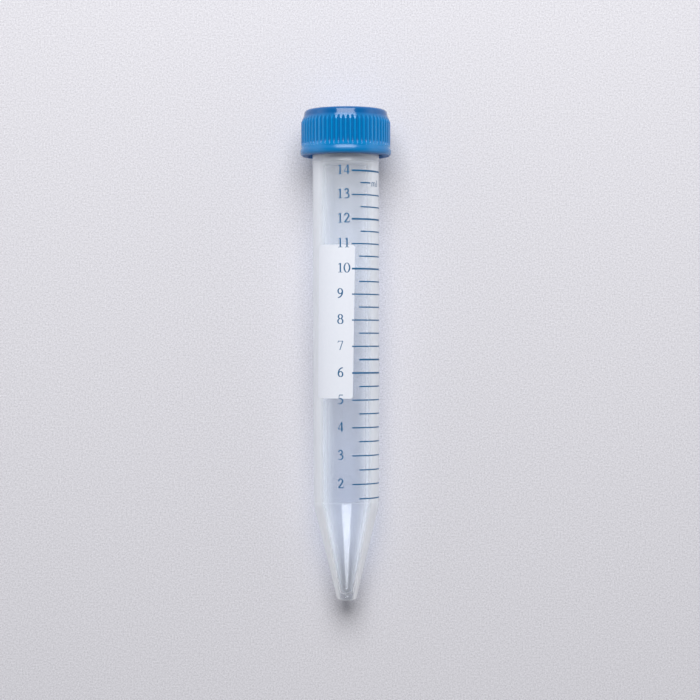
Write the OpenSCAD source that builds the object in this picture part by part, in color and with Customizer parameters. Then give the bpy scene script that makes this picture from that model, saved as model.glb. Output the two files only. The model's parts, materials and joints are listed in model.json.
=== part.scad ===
// A 15 ml conical tube with its screw cap, lying on its side.
// Both pieces are drawn upright on one axis, with the tip at the bottom, and
// then laid down together: the cap's flange and the tube's shoulder touch the
// ground, so the axis leans up a little towards the cap.

/* [Tube] */
// Length of the tube from its tip to its rim
tube_len = 118.4; // [90:0.1:150]
// Outer diameter of the straight upper part of the body
body_d = 16.25; // [13:0.05:20]
// Length of the straight upper part of the body, below the collar
straight_len = 47; // [20:0.5:60]
// How much narrower the body is at the shoulder than at the top
body_draft = 0.25; // [0.1:0.05:0.6]
// Height of the shoulder above the tip
cone_len = 23.2; // [16:0.1:30]
// Outer diameter of the tip
tip_d = 4.7; // [3.6:0.1:6]
// Radius of the edge round the tip
tip_round = 0.5; // [0.2:0.05:0.7]
// Radius that blends the cone into the body, outside and inside
shoulder_round = 6; // [2:0.5:6]
// Diameter of the sunk gate mark in the end of the tip
gate_d = 1.8; // [1:0.1:2.2]
// Depth of the gate mark
gate_depth = 0.3; // [0.1:0.05:0.5]

/* [Wall] */
// Wall of the straight upper part
wall_top = 0.75; // [0.6:0.05:1]
// Wall at the shoulder
wall_shoulder = 1.35; // [1:0.05:1.8]
// Thickness of the floor under the cavity
floor_t = 1.4; // [1:0.1:2]
// Radius of the round end of the cavity
cavity_end_r = 1.5; // [1.2:0.05:1.7]

/* [Neck] */
// Length of the neck, from the collar to the rim
neck_len = 8.8; // [6:0.1:9.6]
// How far the neck lies inside the line of the body
neck_step = 0.05; // [0.02:0.01:0.15]
// How much narrower the neck is at the rim than at the collar
neck_draft = 0.1; // [0.05:0.01:0.2]
// Length of the collar under the neck
collar_len = 2.5; // [1.5:0.1:4]
// How far the collar's upper edge stands proud of the body
collar_step = 0.08; // [0.04:0.01:0.3]
// Radius of the outer edge of the rim
rim_round = 0.25; // [0.1:0.05:0.35]
// Depth of the land that the cap's plug seals in
land_len = 2.6; // [2.3:0.1:3.5]
// How far the land is wider than the bore, on each side
land_step = 0.1; // [0.05:0.01:0.15]
// How much wider the land is at the rim than at its lower end
land_draft = 0.1; // [0.05:0.01:0.15]
// Length of the straight bore below the land
bore_len = 10.4; // [6:0.1:20]
// Height of the thread ridge that runs round the neck
thread_h = 0.6; // [0.4:0.05:0.9]

/* [Cap] */
// Height of the cap
cap_h = 11.3; // [10:0.1:14]
// Thickness of the cap's top
cap_top_t = 1.55; // [1.2:0.05:1.8]
// Wall of the skirt behind the grooves
skirt_t = 1.6; // [1.2:0.05:2.2]
// Width of the plain rounded edge round the cap's top, in radius
top_round = 0.9; // [0.4:0.05:1.2]
// Height of the plain band above the ribs, with the rounded edge
band_h = 1.55; // [1.4:0.05:2.5]
// How far the plain band lies inside the floor of the grooves
band_step = 0.2; // [0.1:0.05:0.4]
// Draft of the plain band, in degrees
band_draft = 11; // [2:1:15]
// Height of the flange below the ribs
flange_h = 1.9; // [1.7:0.05:3]
// How far the flange stands proud of the ribs
flange_step = 0.2; // [0.1:0.05:0.5]
// Length of the slope from the ribs down to the flange
flange_run = 0.7; // [0.2:0.05:0.8]
// Radius of the flange's lower edge
flange_round = 0.8; // [0.3:0.05:1]
// Chamfer inside the skirt's lower edge
skirt_chamfer = 0.4; // [0.2:0.05:0.6]

/* [Ribs] */
// Number of ribs round the cap
rib_count = 60; // [40:1:64]
// Height of a rib above the floor of the grooves
rib_h = 0.42; // [0.3:0.02:0.5]
// Width of a groove between two ribs
groove_w = 0.75; // [0.6:0.01:0.8]
// Length of the slope that ends a rib at the plain band
rib_run = 1.5; // [0.6:0.05:2]
// Length of the slope that ends a groove at the flange
groove_run = 1.1; // [0.4:0.05:2]

/* [Seal] */
// How far the plug reaches into the mouth of the tube
plug_len = 2.2; // [1.5:0.1:2.2]
// Wall of the plug
plug_t = 0.9; // [0.6:0.05:1.2]
// Chamfer that leads the plug in
plug_lead = 0.3; // [0.1:0.05:0.5]

/* [Clearances] */
// Gap between the plug and the land, on each side
plug_clear = 0.04; // [0.02:0.01:0.08]
// Gap between the rim and the cap's top
rim_clear = 0.05; // [0.02:0.01:0.1]
// Gap between the thread ridge and the cap's bore
thread_clear = 0.25; // [0.15:0.05:0.4]

/* [Hidden] */
$fn = 96;

// What a cut runs past the face that it opens
past = 1;

// The tube's heights and radii, measured from the tip
body_r = body_d / 2;
shoulder_r = body_r - body_draft / 2;
tip_r = tip_d / 2;
neck_z = tube_len - neck_len;
collar_z = neck_z - collar_len;
straight_z = collar_z - straight_len;
neck_r = body_r - neck_step;
rim_r = neck_r - neck_draft / 2;
collar_r = body_r + collar_step;
bore_r = body_r - wall_top;
land_r = bore_r + land_step;
land_z = tube_len - land_len;
bore_z = land_z - bore_len;
cavity_r = shoulder_r - wall_shoulder;

// The slopes of the outer walls, as angles from the axis
cone_slope = atan2(shoulder_r - tip_r, cone_len);
body_slope = atan2(body_r - shoulder_r, straight_z - cone_len);

// The cavity's cone is tangent to the ball that ends it
cavity_end_z = floor_t + cavity_end_r;
cavity_slope = atan2(cavity_r, cone_len - cavity_end_z)
    - asin(cavity_end_r / norm([cavity_r, cone_len - cavity_end_z]));
bore_slope = atan2(bore_r - cavity_r, bore_z - cone_len);

// The cap's heights and radii, on the same axis
cap_under_z = tube_len + rim_clear;
cap_top_z = cap_under_z + cap_top_t;
cap_z = cap_top_z - cap_h;
cap_bore_r = neck_r + thread_h + thread_clear;
groove_floor_r = cap_bore_r + skirt_t;
crest_r = groove_floor_r + rib_h;
band_r = groove_floor_r - band_step;
flange_r = crest_r + flange_step;
flange_top_z = cap_z + flange_h;
rib_top_z = cap_top_z - band_h;
plug_z = tube_len - plug_len;

// The centre of the round at the cap's top, which touches the top and the band
top_centre_z = cap_top_z - top_round;
top_centre_r = band_r - (top_centre_z - rib_top_z) * tan(band_draft) - top_round / cos(band_draft);

// The plug's bore, and the ribs
plug_bore_r = land_r - plug_clear - plug_t;
rib_pitch = 360 / rib_count;
groove_r = (pow(groove_w / 2, 2) + pow(rib_h, 2)) / (2 * rib_h);

// How far the closed cap is turned from the seam of its outline, which keeps
// that seam off the line that it lies on
cap_turn = 8 * rib_pitch;

// Radius of the land at a height, which the plug follows
function land_at(z) = land_r + land_draft / 2 * (z - land_z) / land_len;

// A point at a distance from p, along a line that leans from the axis
function along(p, slope, distance) = p + distance * [sin(slope), cos(slope)];

// How far a blend reaches from the corner of two slopes, and its centre
function reach(lower, upper, radius) = radius * tan((lower - upper) / 2);
function centre(p, lower, upper, radius) =
    along(p, upper, reach(lower, upper, radius)) + radius * [-cos(upper), sin(upper)];

// The centre of the round at the tip, which touches the end and the cone
tip_centre_r = tip_r + tip_round * tan(cone_slope) - tip_round / cos(cone_slope);

// The corners where the cone meets the body, outside and in the cavity
shoulder = [shoulder_r, cone_len];
cavity_corner = [cavity_r, cone_len];

// The lean that lets the shoulder's blend and the flange's edge both touch
shoulder_centre = centre(shoulder, cone_slope, body_slope, shoulder_round);
flange_centre = [flange_r - flange_round, cap_z + flange_round];
rise = flange_centre - shoulder_centre;
lean = atan2(rise[0], rise[1]) + asin((flange_round - shoulder_round) / norm(rise));

// Where the lying tube's axis starts, so that it touches the ground and is
// centred along its length
ground = flange_round + flange_centre[0] * cos(lean) - flange_centre[1] * sin(lean);
front = tip_round * cos(lean) - tip_centre_r * sin(lean) - tip_round;
back = top_centre_z * cos(lean) + top_centre_r * sin(lean) + top_round;
middle = (front + back) / 2;

// Fills the corner p of two slopes up to a round of this radius
module blend(p, lower, upper, radius) {
    c = centre(p, lower, upper, radius);
    d = reach(lower, upper, radius);
    intersection() {
        translate(c) circle(radius);
        polygon([c, along(p, lower, -d), p, along(p, upper, d)]);
    }
}

module tube_outline() {
    d = reach(cone_slope, body_slope, shoulder_round);
    polygon([
        [0, 0],
        [tip_centre_r, 0],
        [tip_centre_r + tip_round * cos(cone_slope), tip_round - tip_round * sin(cone_slope)],
        along(shoulder, cone_slope, -d),
        along(shoulder, body_slope, d),
        [body_r, straight_z],
        [body_r, collar_z],
        [collar_r, neck_z],
        [neck_r, neck_z + neck_step + collar_step],
        [rim_r, tube_len - rim_round],
        [rim_r - rim_round, tube_len],
        [0, tube_len]
    ]);
    translate([tip_centre_r, tip_round]) circle(tip_round);
    blend(shoulder, cone_slope, body_slope, shoulder_round);
    translate([rim_r - rim_round, tube_len - rim_round]) circle(rim_round);
}

module cavity_outline() {
    d = reach(cavity_slope, bore_slope, shoulder_round);
    polygon([
        [0, cavity_end_z],
        [cavity_end_r * cos(cavity_slope), cavity_end_z - cavity_end_r * sin(cavity_slope)],
        along(cavity_corner, cavity_slope, -d),
        along(cavity_corner, bore_slope, d),
        [bore_r, bore_z],
        [bore_r, land_z - land_step],
        [land_r, land_z],
        [land_at(tube_len), tube_len],
        [land_at(tube_len), tube_len + past],
        [0, tube_len + past]
    ]);
    intersection() {
        translate([0, cavity_end_z]) circle(cavity_end_r);
        translate([0, floor_t]) square([cavity_end_r, cavity_end_r]);
    }
    blend(cavity_corner, cavity_slope, bore_slope, shoulder_round);
}

module cap_outline() {
    polygon([
        [0, cap_z],
        [flange_r - flange_round, cap_z],
        [flange_r, cap_z + flange_round],
        [flange_r, flange_top_z - flange_run],
        [crest_r, flange_top_z],
        [crest_r, rib_top_z - rib_run],
        [band_r, rib_top_z],
        [top_centre_r + top_round * cos(band_draft), top_centre_z + top_round * sin(band_draft)],
        [top_centre_r, cap_top_z],
        [0, cap_top_z]
    ]);
    translate([flange_r - flange_round, cap_z + flange_round]) circle(flange_round);
    translate([top_centre_r, top_centre_z]) circle(top_round);
}

module skirt_cavity_outline() {
    polygon([
        [0, cap_z - past],
        [cap_bore_r + skirt_chamfer + past, cap_z - past],
        [cap_bore_r, cap_z + skirt_chamfer],
        [cap_bore_r, cap_under_z],
        [0, cap_under_z]
    ]);
}

module plug_outline() {
    polygon([
        [plug_bore_r, plug_z],
        [land_at(plug_z) - plug_clear - plug_lead, plug_z],
        [land_at(plug_z + plug_lead) - plug_clear, plug_z + plug_lead],
        [land_at(cap_under_z) - plug_clear, cap_under_z],
        [land_at(cap_under_z) - plug_clear, cap_under_z + past / 2],
        [plug_bore_r, cap_under_z + past / 2]
    ]);
}

// One groove, from above the ribs down to a sloping end above the flange
module groove() {
    translate([crest_r - rib_h + groove_r, 0, flange_top_z]) {
        cylinder(h = groove_run, r1 = 0, r2 = groove_r);
        translate([0, 0, groove_run]) cylinder(h = cap_h, r = groove_r);
    }
}

// Lays the upright pieces down, with their -Y side upwards
module lying() {
    translate([0, -middle, ground]) rotate([lean - 90, 0, 0]) children();
}

module tube() {
    color([0.80, 0.84, 0.88])
        lying()
            difference() {
                rotate_extrude() {
                    difference() {
                        tube_outline();
                        cavity_outline();
                    }
                }
                translate([0, 0, -past]) cylinder(h = past + gate_depth, d = gate_d);
            }
}

module cap() {
    color([0.02, 0.42, 0.75])
        lying()
            rotate([0, 0, cap_turn]) difference() {
                rotate_extrude() {
                    difference() {
                        cap_outline();
                        skirt_cavity_outline();
                    }
                    plug_outline();
                }
                for (i = [0 : rib_count - 1]) {
                    rotate([0, 0, -90 + (i + 0.5) * rib_pitch]) groove();
                }
            }
}

tube();
cap();
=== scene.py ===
import bmesh
import bpy
import json
import math

from mathutils import Matrix, Vector


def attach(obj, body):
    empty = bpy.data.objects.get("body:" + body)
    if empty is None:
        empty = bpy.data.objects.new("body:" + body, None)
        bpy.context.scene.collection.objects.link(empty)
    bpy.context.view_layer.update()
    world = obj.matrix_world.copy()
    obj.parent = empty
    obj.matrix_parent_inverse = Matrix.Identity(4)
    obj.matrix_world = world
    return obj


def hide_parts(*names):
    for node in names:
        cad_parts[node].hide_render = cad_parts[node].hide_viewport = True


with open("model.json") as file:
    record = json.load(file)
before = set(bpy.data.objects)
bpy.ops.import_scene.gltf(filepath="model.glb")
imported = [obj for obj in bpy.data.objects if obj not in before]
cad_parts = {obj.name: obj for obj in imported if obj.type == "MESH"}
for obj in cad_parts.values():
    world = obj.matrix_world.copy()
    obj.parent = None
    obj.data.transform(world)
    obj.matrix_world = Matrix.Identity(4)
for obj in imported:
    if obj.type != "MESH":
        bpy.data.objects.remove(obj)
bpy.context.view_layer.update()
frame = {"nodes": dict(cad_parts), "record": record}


# The tube is one moulding in natural polypropylene: a cone with a blunt tip, a
# body that widens towards the cap, a collar, and a neck with a thread. Sizes are
# millimetres, heights are from the tip and radii are from the tube's own axis.
CONE_LENGTH = 23.2
STRAIGHT_START = 60.1
COLLAR_START = 106.9
NECK_START = 109.6
RIM = 118.4
LAND_START = 115.8
LAND_RADIUS = 7.475
LAND_STEP = 0.1
BORE_START = 105.4
BODY_DRAFT = 0.25
SHOULDER_WALL = 1.35
FLOOR_HEIGHT = 1.4
FLOOR_RADIUS = 1.157
TIP_RADIUS = 2.35
GATE_RADIUS = 0.9
GATE_DEPTH = 0.3
NECK_STEP = 0.05
NECK_DRAFT = 0.05
SHARP = 0.08
ROUND_STEPS = 192

mounts = {mount["name"]: mount for mount in frame["record"]["mounts"]}
body_radius = mounts["body_outside"]["dims"]["r_mm"]
bore_radius = mounts["mouth"]["dims"]["r_mm"]
bore_middle = (BORE_START + LAND_START - LAND_STEP) / 2
shoulder_radius = body_radius - BODY_DRAFT / 2
cavity_radius = shoulder_radius - SHOULDER_WALL

# Lays upright millimetres down in the frame: up becomes the tube's axis
axis = Vector(mounts["mouth"]["axis"])
lean = math.asin(axis.z)
foot = Vector(mounts["mouth"]["pos_m"]) - axis * bore_middle / 1000
lying = Matrix.Translation(foot) @ Matrix.Rotation(lean - math.pi / 2, 4, "X") @ Matrix.Scale(0.001, 4)


class Wire:
    """A shader socket. Its operators add Math nodes, and node() adds any other node."""

    def __init__(self, tree, socket=None):
        self.tree = tree
        self.socket = socket

    def node(self, kind, settings=None, sockets=None, output=0):
        made = self.tree.nodes.new("ShaderNode" + kind)
        for name, value in (settings or {}).items():
            setattr(made, name, value)
        for name, value in (sockets or {}).items():
            if isinstance(value, Wire):
                self.tree.links.new(value.socket, made.inputs[name])
            else:
                made.inputs[name].default_value = value
        return Wire(self.tree, made.outputs[output] if made.outputs else None)

    def maths(self, operation, *values):
        return self.node("Math", {"operation": operation}, dict(enumerate((self, *values))))

    def __add__(self, other):
        return self.maths("ADD", other)

    def __sub__(self, other):
        return self.maths("SUBTRACT", other)

    def __mul__(self, other):
        return self.maths("MULTIPLY", other)

    def __rsub__(self, other):
        return self * -1 + other

    __radd__ = __add__
    __rmul__ = __mul__


def new_material(name):
    """A material with an empty node tree, and a wire to start its nodes from."""
    material = bpy.data.materials.new(name)
    material.use_nodes = True
    material.node_tree.nodes.clear()
    return material, Wire(material.node_tree)


def surface(start, shader):
    """Ends a material with this shader."""
    start.node("OutputMaterial", None, {"Surface": shader})


def noise(start, scale, detail=2.0, roughness=0.5):
    """Noise from 0 to 1 in object coordinates, with scale in cells per metre."""
    place = start.node("TexCoord", output="Object")
    sockets = {"Vector": place, "Scale": scale, "Detail": detail, "Roughness": roughness}
    return start.node("TexNoise", None, sockets)


def mix_colour(start, factor, first, second):
    """A colour between two, by the colour sockets of a Mix node."""
    return start.node("Mix", {"data_type": "RGBA"}, {0: factor, 6: first, 7: second}, 2)


def mix_shader(start, factor, first, second):
    return start.node("MixShader", None, {0: factor, 1: first, 2: second})


def position(start, direction):
    """How far a point is along X, Y or Z, in metres."""
    place = start.node("TexCoord", output="Object")
    return start.node("SeparateXYZ", None, {0: place}, direction)


def ramp(start, value, low, high, at_low, at_high):
    """Goes straight from one figure to another while the value goes from low to high."""
    return start.node("MapRange", None, {
        "Value": value, "From Min": low, "From Max": high, "To Min": at_low, "To Max": at_high})


def round_corner(mesh, corner, radius):
    """Rounds one corner of an open outline to this radius."""
    legs = [edge.other_vert(corner).co - corner.co for edge in corner.link_edges]
    turn = math.pi - legs[0].angle(legs[1])
    bmesh.ops.bevel(mesh, geom=[corner], offset=radius * math.tan(turn / 2), offset_type="OFFSET",
                    segments=12, profile=0.5, affect="VERTICES", material=-1)


def outline(mesh, points):
    """An open outline in the plane of the axis, from radii and heights, and roundings where it has them."""
    corners = [mesh.verts.new((point[0], 0, point[1])) for point in points]
    for first, second in zip(corners, corners[1:]):
        mesh.edges.new((first, second))
    for corner, point in zip(corners, points):
        if len(point) == 3:
            round_corner(mesh, corner, point[2])


def finish_piece(name, mesh, material, body, crease=35):
    """Turns an upright mesh into a piece that lies in the frame and rides on its body."""
    bmesh.ops.remove_doubles(mesh, verts=mesh.verts, dist=1e-5)
    bmesh.ops.recalc_face_normals(mesh, faces=mesh.faces)
    bmesh.ops.transform(mesh, matrix=lying, verts=mesh.verts)
    for face in mesh.faces:
        face.smooth = True
    for edge in mesh.edges:
        edge.smooth = len(edge.link_faces) == 2 and edge.calc_face_angle() < math.radians(crease)
    data = bpy.data.meshes.new(name)
    mesh.to_mesh(data)
    mesh.free()
    data.materials.append(material)
    piece = bpy.data.objects.new(name, data)
    bpy.context.scene.collection.objects.link(piece)
    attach(piece, body)
    return piece


tube_mesh = bmesh.new()
witness_line = CONE_LENGTH + 0.85
outline(tube_mesh, [
    (0, GATE_DEPTH), (GATE_RADIUS, GATE_DEPTH, SHARP), (GATE_RADIUS, 0, SHARP),
    (TIP_RADIUS, 0, 0.5), (shoulder_radius, CONE_LENGTH, 6),
    (shoulder_radius, witness_line), (shoulder_radius - 0.04, witness_line + 0.03),
    (shoulder_radius - 0.04, witness_line + 0.15), (shoulder_radius + 0.002, witness_line + 0.18),
    (body_radius, STRAIGHT_START), (body_radius, COLLAR_START - 0.2), (body_radius, COLLAR_START),
    (body_radius + 0.1, COLLAR_START + 0.2, 0.3), (body_radius + 0.1, COLLAR_START + 0.35, 0.3),
    (body_radius + 0.01, COLLAR_START + 0.75, 0.3), (body_radius + 0.08, NECK_START),
    (body_radius - NECK_STEP, NECK_START + 0.13), (body_radius - NECK_STEP - NECK_DRAFT, RIM, 0.25),
    (LAND_RADIUS + 0.05, RIM, SHARP), (LAND_RADIUS, LAND_START), (bore_radius, LAND_START - LAND_STEP),
    (bore_radius, BORE_START), (cavity_radius, CONE_LENGTH, 6), (FLOOR_RADIUS, FLOOR_HEIGHT, 1.49),
    (0, FLOOR_HEIGHT),
])
neck = [edge for edge in tube_mesh.edges
        if edge.calc_length() > 8 and all(vert.co.z > NECK_START for vert in edge.verts)]
bmesh.ops.subdivide_edges(tube_mesh, edges=neck, cuts=84)
bmesh.ops.spin(tube_mesh, geom=tube_mesh.verts[:] + tube_mesh.edges[:], cent=(0, 0, 0), axis=(0, 0, 1),
               dvec=(0, 0, 0), angle=2 * math.pi, steps=ROUND_STEPS, use_merge=True)

# The thread is a rounded ridge that climbs the neck for a turn and a quarter,
# right-handed, and fades out at its two ends
PITCH = 3.0
THREAD_START = 111.9
THREAD_TURNS = 1.25
THREAD_HEIGHT = 0.6
THREAD_HALF_WIDTH = 0.72
THREAD_FLANK = 0.5
THREAD_FADE = 0.06


def ridge(height, turn):
    """How far the thread stands proud at a height and an angle, in turns."""
    proud = 0
    for climb in (turn, turn + 1):
        if climb <= THREAD_TURNS:
            away = abs(height - THREAD_START - PITCH * climb)
            side = min(1, max(0, (THREAD_HALF_WIDTH - away) / THREAD_FLANK))
            ends = min(1, climb / THREAD_FADE, (THREAD_TURNS - climb) / THREAD_FADE)
            proud = max(proud, min(side * side * (3 - 2 * side), 1) * ends)
    return proud * THREAD_HEIGHT


for vert in tube_mesh.verts:
    out = vert.co.xy.length
    if out > 8 and NECK_START + 0.3 < vert.co.z < RIM - 0.4:
        turn = math.atan2(vert.co.y, vert.co.x) / (2 * math.pi) % 1
        vert.co.xy *= 1 + ridge(vert.co.z, turn) / out

# Natural polypropylene is nearly clear where the wall is seen face on and milky
# where it is seen edge on. It is least milky in the cone and most in the thick
# neck. Its milk is painted whiter in the cone, as painted light. Lamp light goes
# through it, dimmed, and hardly through the cone's end.
natural_plastic, start = new_material("natural_polypropylene")
haze = noise(start, 900, 3, 0.6)
clear_part = start.node("BsdfPrincipled", None, {
    "Base Color": mix_colour(start, haze, (0.90, 0.92, 0.945, 1), (0.93, 0.945, 0.96, 1)),
    "Roughness": 0.06 + haze * 0.04,
    "IOR": 1.49,
    "Transmission Weight": 1,
    "Coat Weight": 1,
    "Coat Roughness": 0.05,
})
along = position(start, "Y")
# Painted light: the cone's milk is painted whiter than the body's, lightening the cone's walls
painted_cone_light = ramp(start, along, -0.042, -0.034, 1.0, 0.0)
body_milk = mix_colour(start, haze, (0.84, 0.865, 0.91, 1), (0.89, 0.91, 0.94, 1))
cone_milk = mix_colour(start, haze, (0.95, 0.96, 0.98, 1), (0.97, 0.98, 1.0, 1))
milky_skin = start.node("BsdfPrincipled", None, {
    "Base Color": mix_colour(start, painted_cone_light, body_milk, cone_milk),
    "Roughness": 0.24 + haze * 0.12,
    "IOR": 1.49,
    "Coat Weight": 1,
    "Coat Roughness": 0.05,
})
milky_depth = start.node("BsdfTranslucent", None, {"Color": (0.82, 0.86, 0.93, 1)})
milky_part = mix_shader(start, 0.2, milky_skin, milky_depth)
least_milk = ramp(start, along, -0.035, 0.02, 0.08, 0.26)
thick_wall = ramp(start, along, 0.0455, 0.0475, 0.0, 0.45)
edge_on = start.node("LayerWeight", None, {"Blend": 0.5}, "Facing")
milkiness = start.node("MapRange", {"interpolation_type": "SMOOTHSTEP"}, {
    "Value": edge_on, "From Min": 0.2, "From Max": 0.42, "To Min": least_milk + thick_wall, "To Max": 0.92})
plastic = mix_shader(start, milkiness, clear_part, milky_part)
lamp_ray = start.node("LightPath", output="Is Shadow Ray")
dimmed = start.node("BsdfTransparent", None, {"Color": (0.74, 0.77, 0.82, 1)})
dark = start.node("BsdfTransparent", None, {"Color": (0.02, 0.03, 0.06, 1)})
solid_end = ramp(start, along, -0.059, -0.044, 1.0, 0.0)
shade = mix_shader(start, solid_end, dimmed, dark)
surface(start, mix_shader(start, lamp_ray, plastic, shade))
tube = finish_piece("tube_body", tube_mesh, natural_plastic, "tube")
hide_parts("tube")


# The writing patch is matt white ink, screen printed on the side of the body
# before the scale is. It is a little askew, as hand-loaded printing often is.
def body_at(height):
    """The radius of the body's outside at a height."""
    share = (min(max(height, CONE_LENGTH), STRAIGHT_START) - CONE_LENGTH) / (STRAIGHT_START - CONE_LENGTH)
    return shoulder_radius + (body_radius - shoulder_radius) * share


def wrap(mesh):
    """Wraps flat artwork round the body, across from the top line, with its depth outwards."""
    for vert in mesh.verts:
        across, up, proud = vert.co
        radius = body_at(up) + proud
        angle = across / body_radius
        vert.co = Vector((math.sin(angle) * radius, -math.cos(angle) * radius, up))


PATCH_WIDTH = 9.75
PATCH_HEIGHT = 37.2
PATCH_CORNER = 0.7
PATCH_INK = 0.02
PATCH_CUTS = 24
PATCH_ASKEW = math.radians(-1)
PATCH_MIDDLE = (-2.95, 68.1, 0)
patch_mesh = bmesh.new()
bmesh.ops.create_grid(patch_mesh, x_segments=1, y_segments=1, size=0.5)
bmesh.ops.scale(patch_mesh, vec=(PATCH_WIDTH, PATCH_HEIGHT, 1), verts=patch_mesh.verts)
bmesh.ops.bevel(patch_mesh, geom=patch_mesh.verts[:], offset=PATCH_CORNER, offset_type="OFFSET",
                segments=6, profile=0.5, affect="VERTICES", material=-1)
for step in range(1, PATCH_CUTS):
    for size, direction in ((PATCH_WIDTH, Vector((1, 0, 0))), (PATCH_HEIGHT, Vector((0, 1, 0)))):
        everything = patch_mesh.verts[:] + patch_mesh.edges[:] + patch_mesh.faces[:]
        bmesh.ops.bisect_plane(patch_mesh, geom=everything, plane_no=direction,
                               plane_co=direction * size * (step / PATCH_CUTS - 0.5))
raised = bmesh.ops.extrude_face_region(patch_mesh, geom=patch_mesh.faces[:])["geom"]
raised_corners = [item for item in raised if isinstance(item, bmesh.types.BMVert)]
bmesh.ops.translate(patch_mesh, vec=(0, 0, PATCH_INK), verts=raised_corners)
bmesh.ops.rotate(patch_mesh, cent=(0, 0, 0), matrix=Matrix.Rotation(PATCH_ASKEW, 3, "Z"),
                 verts=patch_mesh.verts)
bmesh.ops.translate(patch_mesh, vec=PATCH_MIDDLE, verts=patch_mesh.verts)
wrap(patch_mesh)
white_ink, start = new_material("white_ink")
mottle = noise(start, 1500, 4, 0.6)
bump = start.node("Bump", None, {"Height": mottle, "Strength": 0.3, "Distance": 0.00002})
ink = start.node("BsdfPrincipled", None, {
    "Base Color": mix_colour(start, mottle, (0.76, 0.79, 0.87, 1), (0.82, 0.84, 0.91, 1)),
    "Roughness": 0.55 + mottle * 0.15,
    "Normal": bump,
})
lamp_ray = start.node("LightPath", output="Is Shadow Ray")
thin = start.node("BsdfTransparent", None, {"Color": (0.6, 0.6, 0.62, 1)})
surface(start, mix_shader(start, lamp_ray, ink, thin))
finish_piece("writing_patch", patch_mesh, white_ink, "tube")


# The scale is blue ink printed round the right of the body, a long mark for each
# millilitre and a short one for each half. The marks follow the cavity's volume
# as if it were a little wider, so the top one is 1.2 mm lower than 14 ml reaches.
CONE_HOLDS = 1.215
EXTRA_RADIUS = 0.056
LONG_MARK_START = 10.2
SHORT_MARK_START = 23.0
UPPER_SHORT_MARK_START = 26.0
MARK_END = 84.0
MARK_BY_UNIT_END = 47.0
MARK_THICKNESS = 0.3
HEAVY_MARK_THICKNESS = 0.42
HEAVY_MARKS = (6, 6.5, 10, 12, 14)
MARK_INK = 0.03
MARK_STEPS = 32
bore_slope = (bore_radius - cavity_radius) / (BORE_START - CONE_LENGTH)


def fill_height(millilitres):
    """The height of the mark for this much liquid, in the upright tube."""
    above = (millilitres - CONE_HOLDS) * 1000
    radius = ((cavity_radius + EXTRA_RADIUS) ** 3 + 3 * bore_slope * above / math.pi) ** (1 / 3)
    return CONE_LENGTH + (radius - cavity_radius - EXTRA_RADIUS) / bore_slope


marks_mesh = bmesh.new()
for half in range(3, 29):
    millilitres = half / 2
    height = fill_height(millilitres)
    from_angle = SHORT_MARK_START if millilitres < 11 else UPPER_SHORT_MARK_START
    if half % 2 == 0:
        from_angle = LONG_MARK_START
    to_angle = MARK_BY_UNIT_END if millilitres == 13.5 else MARK_END
    thick = HEAVY_MARK_THICKNESS if millilitres in HEAVY_MARKS else MARK_THICKNESS
    radius = body_at(height)
    band = [marks_mesh.verts.new((0, -radius - proud, height + up))
            for proud, up in ((0, -thick / 2), (MARK_INK, -thick / 2), (MARK_INK, thick / 2), (0, thick / 2))]
    face = marks_mesh.faces.new(band)
    bmesh.ops.rotate(marks_mesh, cent=(0, 0, 0), verts=band,
                     matrix=Matrix.Rotation(math.radians(from_angle), 3, "Z"))
    bmesh.ops.spin(marks_mesh, geom=[face], cent=(0, 0, 0), axis=(0, 0, 1), dvec=(0, 0, 0),
                   angle=math.radians(to_angle - from_angle), steps=MARK_STEPS)
blue_ink, start = new_material("blue_ink")
cover = noise(start, 4000, 3, 0.6)
surface(start, start.node("BsdfPrincipled", None, {
    "Base Color": mix_colour(start, cover, (0.001, 0.09, 0.22, 1), (0.003, 0.125, 0.29, 1)),
    "Roughness": 0.35 + cover * 0.2,
}))
finish_piece("scale_marks", marks_mesh, blue_ink, "tube")


# The numbers stand at the left of the long marks, printed in the same ink with
# them: upright figures, thick stems, thin hairlines. The unit is by the 13.5 mark.
FIGURE_HEIGHT = 2.25
FIGURE_WIDTH = 2.7
FIGURE_STEP = 1.62
FIGURE_LEFT = -2.06
FIGURE_LIFT = 0.24
UNIT_HEIGHT = 1.5
UNIT_WIDTH = 2.1
UNIT_LEFT = 7.0
THICK = 0.075
THIN = 0.03
FLATTENED = 0.15
NUMBER_INK = 0.025

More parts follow.
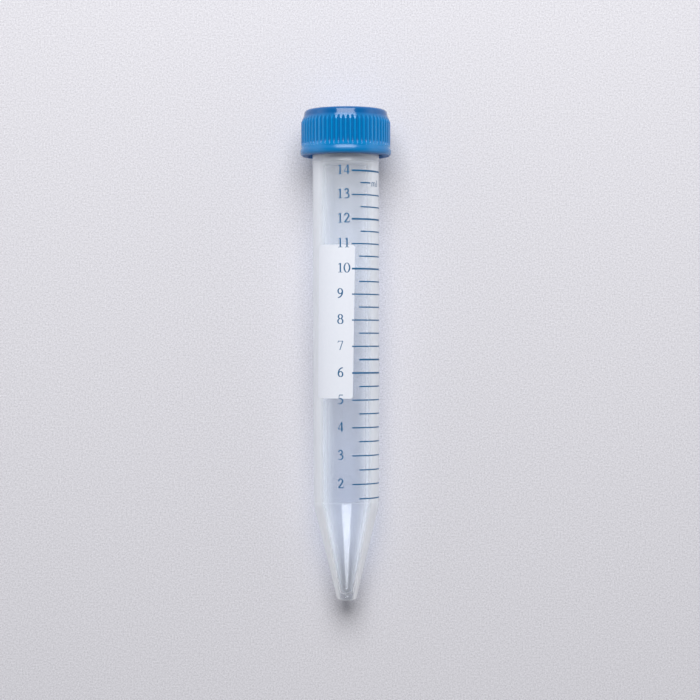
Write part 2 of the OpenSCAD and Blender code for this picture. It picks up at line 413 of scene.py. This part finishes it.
# Strokes of each figure, across and up, for a figure one high. A stroke is
# a bent or a straight line or a ring, and a width stands where the pen is turned.
figures = {
    "0": [("ring", None, (0.25, 0), (0.05, 0.25), (0.05, 0.75), (0.25, 1), (0.45, 0.75), (0.45, 0.25))],
    "1": [("line", None, (0.26, 0), (0.26, 1)), ("line", 0.04, (0.26, 0.97), (0.09, 0.86)),
          ("line", THIN, (0.08, 0.01), (0.44, 0.01))],
    "2": [("bend", None, (0.06, 0.74), (0.11, 0.92), (0.25, 1), (0.42, 0.78), (0.33, 0.50), (0.05, 0.05)),
          ("line", 0.055, (0.05, 0.05), (0.47, 0.05)), ("line", THIN, (0.47, 0.05), (0.51, 0.2))],
    "3": [("bend", None, (0.06, 0.80), (0.14, 0.96), (0.26, 1), (0.39, 0.80), (0.32, 0.62), (0.18, 0.54)),
          ("bend", None, (0.18, 0.54), (0.36, 0.47), (0.44, 0.28), (0.36, 0.08), (0.18, 0), (0.04, 0.07))],
    "4": [("line", 0.035, (0.34, 1), (0.02, 0.29)), ("line", 0.045, (0.02, 0.27), (0.50, 0.27)),
          ("line", None, (0.36, 0), (0.36, 1))],
    "5": [("line", 0.05, (0.14, 0.95), (0.45, 0.95)), ("line", THIN, (0.14, 0.95), (0.09, 0.58)),
          ("bend", None, (0.09, 0.57), (0.28, 0.58), (0.43, 0.36), (0.34, 0.08), (0.16, 0), (0.03, 0.06))],
    "6": [("bend", None, (0.46, 0.99), (0.22, 0.84), (0.07, 0.48), (0.10, 0.14), (0.26, 0), (0.42, 0.12),
           (0.44, 0.34), (0.35, 0.52), (0.22, 0.55), (0.09, 0.42))],
    "7": [("line", 0.05, (0.05, 0.95), (0.47, 0.95)), ("line", 0.045, (0.46, 0.94), (0.20, 0)),
          ("line", THIN, (0.06, 0.95), (0.02, 0.78))],
    "8": [("ring", None, (0.25, 0.54), (0.10, 0.66), (0.10, 0.88), (0.25, 1), (0.40, 0.88), (0.40, 0.66)),
          ("ring", None, (0.25, 0), (0.06, 0.13), (0.06, 0.41), (0.25, 0.54), (0.44, 0.41), (0.44, 0.13))],
    "9": [("bend", None, (0.04, 0.01), (0.28, 0.16), (0.43, 0.52), (0.40, 0.86), (0.24, 1), (0.08, 0.88),
           (0.06, 0.66), (0.15, 0.48), (0.28, 0.45), (0.41, 0.58))],
    "m": [("line", None, (0.12, 0), (0.12, 0.66)), ("bend", None, (0.12, 0.48), (0.33, 0.66), (0.46, 0.46)),
          ("line", None, (0.46, 0.46), (0.46, 0)), ("bend", None, (0.46, 0.48), (0.67, 0.66), (0.80, 0.46)),
          ("line", None, (0.80, 0.46), (0.80, 0)), ("line", THIN, (0.02, 0.01), (0.92, 0.01))],
    "l": [("line", None, (0.14, 0), (0.14, 1)), ("line", THIN, (0.02, 0.01), (0.28, 0.01)),
          ("line", THIN, (0.14, 0.98), (0.02, 0.94))],
}
drawing = bpy.data.curves.new("numbers_drawn", "CURVE")
drawing.dimensions = "3D"
drawing.resolution_u = 5
drawing.bevel_depth = 1
drawing.bevel_resolution = 1
drawing.use_fill_caps = True


def draw_figure(figure, left, base, height, width):
    """Draws a figure's strokes, as by a broad pen: thick where they go up, thin where they go across."""
    for kind, weight, *points in figures[figure]:
        spline = drawing.splines.new("BEZIER")
        spline.bezier_points.add(len(points) - 1)
        spline.use_cyclic_u = kind == "ring"
        for number, (across, up) in enumerate(points):
            last = len(points) - 1
            before = Vector(points[number - 1 if number or kind == "ring" else 0])
            after = Vector(points[(number + 1) % len(points) if number < last or kind == "ring" else last])
            knot = spline.bezier_points[number]
            knot.co = (left + across * width, base + up * height, 0)
            knot.handle_left_type = knot.handle_right_type = "VECTOR" if kind == "line" else "AUTO"
            knot.radius = height * (weight or THIN + (THICK - THIN) * abs((after - before).normalized().y))


for millilitres in range(2, 15):
    base = fill_height(millilitres) - FIGURE_HEIGHT / 2 + FIGURE_LIFT
    for place, figure in enumerate(str(millilitres)):
        draw_figure(figure, FIGURE_LEFT + place * FIGURE_STEP, base, FIGURE_HEIGHT, FIGURE_WIDTH)
unit_base = fill_height(13.5) - UNIT_HEIGHT / 2
draw_figure("m", UNIT_LEFT, unit_base, UNIT_HEIGHT, UNIT_WIDTH)
draw_figure("l", UNIT_LEFT + UNIT_WIDTH, unit_base, UNIT_HEIGHT, UNIT_WIDTH)
numbers_mesh = bmesh.new()
numbers_mesh.from_mesh(bpy.data.meshes.new_from_object(bpy.data.objects.new("numbers_drawn", drawing)))
bmesh.ops.scale(numbers_mesh, vec=(1, 1, FLATTENED), verts=numbers_mesh.verts)
bmesh.ops.translate(numbers_mesh, vec=(0, 0, NUMBER_INK), verts=numbers_mesh.verts)
wrap(numbers_mesh)
finish_piece("numbers", numbers_mesh, blue_ink, "tube")


# The cap is one moulding in blue polyethylene that screws on: fine ribs, a flange
# and a plug for the mouth. The frame's own cap is shown here, in a blue with painted
# light: a painted highlight, lighter on the crests of the ribs, and painted shade,
# darker in the grooves, on the top and on the flange. It is matt at the grooves' lower ends.
GROOVE_FLOOR = 0.0103
CREST = 0.0109
FLANGE_TOP = 0.0505
FLANGE_EDGE = 0.0006
GROOVE_END = 0.0514
CUTTER_MARKS_LENGTH = 0.0008
blue_plastic, start = new_material("blue_polyethylene")
grain = noise(start, 1600, 3, 0.6)
across = position(start, "X")
along = position(start, "Y")
up = position(start, "Z") - (along - foot.y) * math.tan(lean) - foot.z
from_axis = (across * across + up * up).maths("SQRT")
# Painted light: the blue is lighter towards the rib crests, a painted highlight, and darker nearer the axis,
# painted shade in the grooves and on the top
crests = ramp(start, from_axis, GROOVE_FLOOR, CREST, 0.0, 1.0)
# Painted shade: the flange is darker, up to its top edge
painted_flange_shade = ramp(start, along, FLANGE_TOP - FLANGE_EDGE, FLANGE_TOP, 0.4, 0.0)
lit = crests - painted_flange_shade
cutter_marks = ramp(start, along, GROOVE_END, GROOVE_END + CUTTER_MARKS_LENGTH, 0.3, 0.0)
shaded_blue = mix_colour(start, grain, (0.0, 0.10, 0.31, 1), (0.001, 0.11, 0.34, 1))
lit_blue = mix_colour(start, grain, (0.0, 0.225, 0.55, 1), (0.001, 0.245, 0.60, 1))
bump = start.node("Bump", None, {"Height": grain, "Strength": 0.1, "Distance": 0.00001})
surface(start, start.node("BsdfPrincipled", None, {
    "Base Color": mix_colour(start, lit, shaded_blue, lit_blue),
    "Roughness": 0.09 + grain * 0.06 + cutter_marks - cutter_marks * lit,
    "IOR": 1.52,
    "Normal": bump,
}))
cap = frame["nodes"]["cap"]
for material_slot in cap.material_slots:
    material_slot.material = blue_plastic

# The cap's own thread runs inside its bore, half a pitch above the neck's
CAP_BORE = 8.925
CAP_THREAD_BITE = 0.1
CAP_THREAD_HEIGHT = 0.58
TURN_STEPS = 60
thread_mesh = bmesh.new()
profile = [thread_mesh.verts.new((CAP_BORE + out, 0, THREAD_START + PITCH / 2 + up))
           for out, up in ((CAP_THREAD_BITE, -0.5), (-CAP_THREAD_HEIGHT, -0.18),
                           (-CAP_THREAD_HEIGHT, 0.18), (CAP_THREAD_BITE, 0.5))]
face = thread_mesh.faces.new(profile)
steps = round(TURN_STEPS * THREAD_TURNS)
turned = bmesh.ops.spin(thread_mesh, geom=[face], cent=(0, 0, 0), axis=(0, 0, 1),
                        dvec=(0, 0, PITCH / TURN_STEPS), angle=2 * math.pi * THREAD_TURNS, steps=steps)
ends = profile + [item for item in turned["geom_last"] if isinstance(item, bmesh.types.BMVert)]
for vert in ends:
    vert.co.xy *= (CAP_BORE + CAP_THREAD_BITE) / vert.co.xy.length
finish_piece("cap_thread", thread_mesh, blue_plastic, "cap")


# The stage is a sheet of pale paper under one square softbox beyond the cap, in
# a room that is bright low down and at its sides. A camera looks straight down.
floor_mesh = bmesh.new()
bmesh.ops.create_grid(floor_mesh, x_segments=1, y_segments=1, size=1.5)
floor_data = bpy.data.meshes.new("floor")
floor_mesh.to_mesh(floor_data)
floor_mesh.free()
floor = bpy.data.objects.new("floor", floor_data)
bpy.context.scene.collection.objects.link(floor)
paper, start = new_material("paper")
fibre = ramp(start, noise(start, 2600, 4, 0.75), 0.3, 0.7, 0.0, 1.0)
surface(start, start.node("BsdfPrincipled", None, {
    "Base Color": mix_colour(start, fibre, (0.53, 0.52, 0.56, 1), (0.87, 0.86, 0.91, 1)),
    "Roughness": 0.8,
}))
floor_data.materials.append(paper)

softbox_data = bpy.data.lights.new("softbox", "AREA")
softbox_data.shape = "SQUARE"
softbox_data.size = 0.5
softbox_data.energy = 4.75
softbox = bpy.data.objects.new("softbox", softbox_data)
softbox.location = (0, 0.368, 0.536)
softbox.rotation_euler = softbox.location.to_track_quat("Z", "Y").to_euler()
bpy.context.scene.collection.objects.link(softbox)

room = bpy.data.worlds.new("room")
room.use_nodes = True
room.node_tree.nodes.clear()
start = Wire(room.node_tree)
direction = start.node("TexCoord")
height = start.node("SeparateXYZ", None, {0: direction}, "Z")
sideways = start.node("SeparateXYZ", None, {0: direction}, "X").maths("ABSOLUTE")
level = ramp(start, height, 0.2, 0.75, 0.6, 0.045)
low_down = ramp(start, height, 0.3, 0.6, 1.0, 0.0)
walls = ramp(start, sideways, 0.6, 0.9, 0.0, 0.5)
light = start.node("Background", None, {"Color": (0.97, 0.98, 1, 1), "Strength": level + walls * low_down})
start.node("OutputWorld", None, {"Surface": light})
bpy.context.scene.world = room
bpy.context.scene.view_settings.view_transform = "Standard"

camera_data = bpy.data.cameras.new("camera")
camera_data.sensor_width = 36
camera_data.lens = 107.7
camera = bpy.data.objects.new("camera", camera_data)
camera.location = (0.0009, -0.0169, 0.523)
camera.rotation_euler = (0.035, 0, -0.0021)
bpy.context.scene.collection.objects.link(camera)
bpy.context.scene.camera = camera
